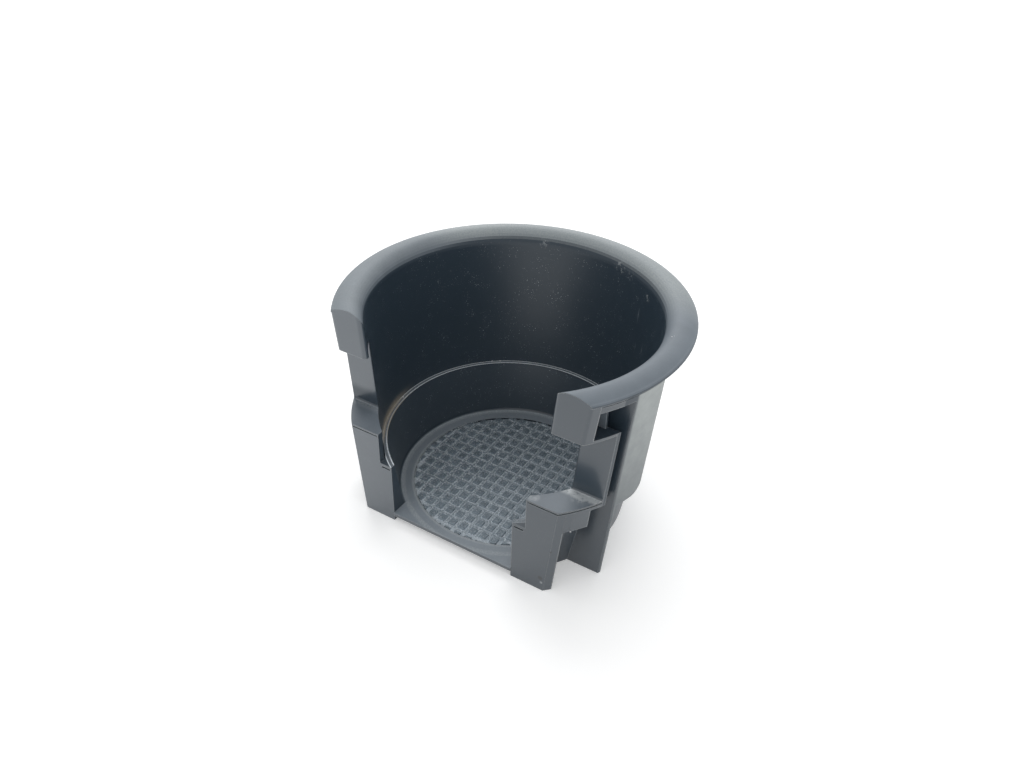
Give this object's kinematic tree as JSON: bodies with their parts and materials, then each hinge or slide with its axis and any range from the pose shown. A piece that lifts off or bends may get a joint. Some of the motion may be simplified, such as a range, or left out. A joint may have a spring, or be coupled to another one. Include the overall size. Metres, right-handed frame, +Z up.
{
  "type": "car cup holder",
  "caption": "Round car cup holder insert with a rolled rim, a can ledge, an open front between two notched pillars, and a loose waffle mat on its floor.",
  "frame": {"origin": "centre of the base on the cup's axis, on the surface the part stands on", "axes": "+Z up along the cup's axis, -Y towards the open front, +X to the right seen from the front"},
  "size_m": [0.1, 0.083, 0.0678],
  "materials": {
    "body_plastic": "moulded dark blue-grey plastic, satin outside and glossier inside the cup",
    "mat_rubber": "dark moulded rubber with dust in the grooves"
  },
  "bodies": {
    "root": {"cup_body": "body_plastic", "floor_mat": "mat_rubber"}
  },
  "joints": []
}
